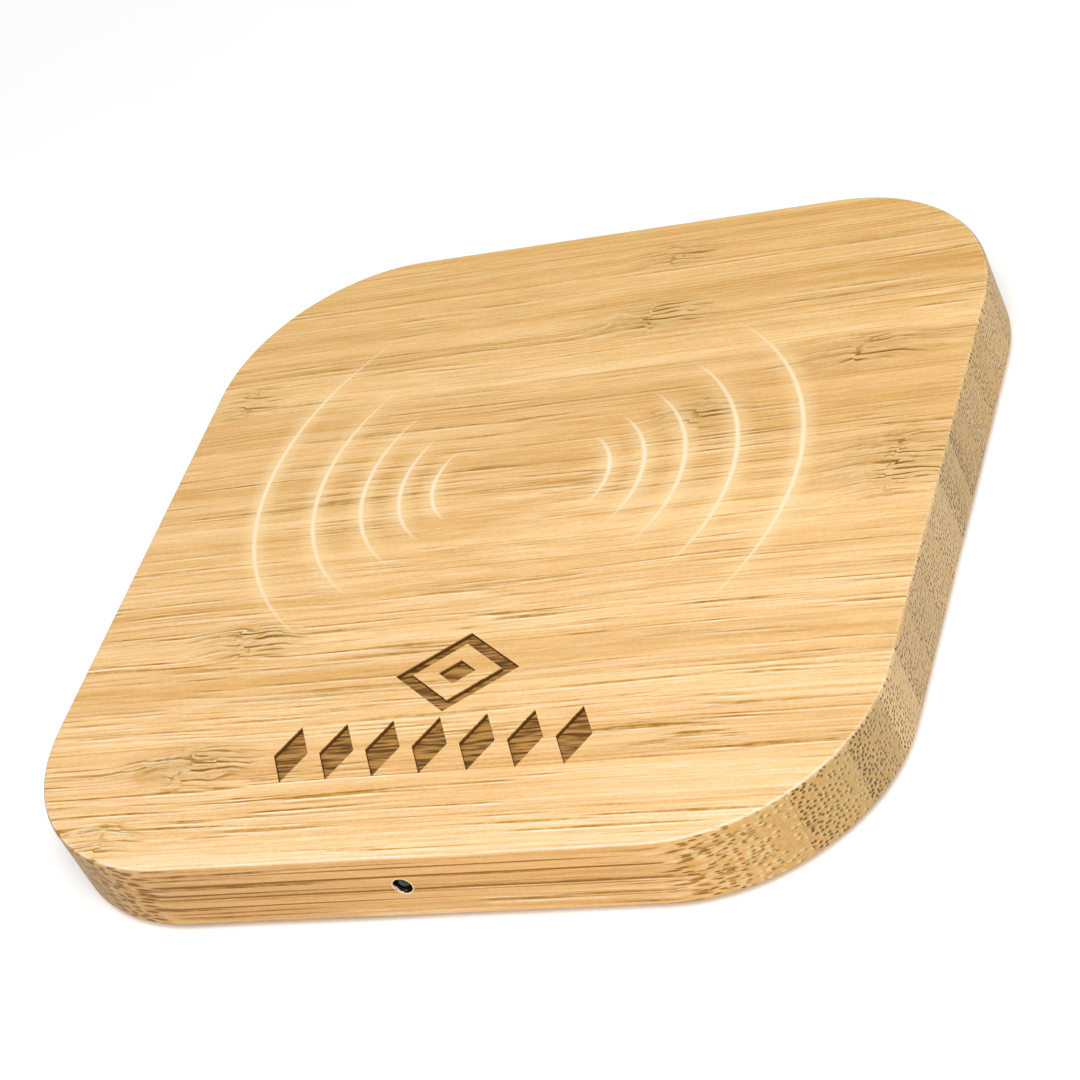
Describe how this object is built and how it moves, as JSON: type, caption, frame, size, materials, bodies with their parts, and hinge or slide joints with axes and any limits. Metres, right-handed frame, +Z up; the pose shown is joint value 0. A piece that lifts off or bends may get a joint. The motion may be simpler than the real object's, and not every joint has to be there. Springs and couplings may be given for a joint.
{
  "type": "wireless charging pad",
  "caption": "Flat square wireless charging pad in laminated bamboo with round corners, a front status light and a rear power inlet; a phone is laid on top.",
  "frame": {"origin": "centre of the pad, on the plane its rubber feet stand on", "axes": "+Z up out of the charging face, +Y towards the back edge with the power inlet, +X to the right seen from the front edge with the status light"},
  "size_m": [0.1, 0.1, 0.01],
  "materials": {
    "bamboo": "laminated strips, sanded and thinly oiled",
    "black_abs": "moulded, fine satin texture",
    "foot_rubber": "matt",
    "zinc_steel": "zinc plated",
    "adhesive_tape": "clear amber film",
    "stranded_copper": "enamelled copper strands, stands in for copper",
    "ferrite": "sintered, dark grey",
    "board_laminate": "green solder mask on glass epoxy",
    "solder": "bright tin",
    "stainless_shell": "drawn stainless steel",
    "insulator_plastic": "moulded",
    "gold_contacts": "gold plated",
    "clear_acrylic": "polished smoked acrylic",
    "led_body": "white package",
    "chip_epoxy": "moulded epoxy",
    "capacitor_ceramic": "sintered, plated ends",
    "choke_ferrite": "ground ferrite",
    "resistor_body": "glazed, plated ends"
  },
  "bodies": {
    "root": {"bamboo_housing": "bamboo", "base_cover": "black_abs", "rubber_feet": "foot_rubber", "cover_screws": "zinc_steel", "coil_tape": "adhesive_tape", "transmitter_coil": "stranded_copper", "ferrite_shield": "ferrite", "shield_tape": "adhesive_tape", "circuit_board": "board_laminate", "coil_solder": "solder", "usb_shell": "stainless_shell", "usb_insulator": "insulator_plastic", "usb_contacts": "gold_contacts", "light_pipe": "clear_acrylic", "status_led": "led_body", "controller_chip": "chip_epoxy", "bridge_transistors": "chip_epoxy", "resonant_capacitors": "capacitor_ceramic", "input_capacitors": "capacitor_ceramic", "input_choke": "choke_ferrite", "voltage_regulator": "chip_epoxy", "sense_resistor": "resistor_body", "chip_resistors": "resistor_body", "chip_capacitors": "capacitor_ceramic", "thermistor": "resistor_body"}
  },
  "joints": []
}
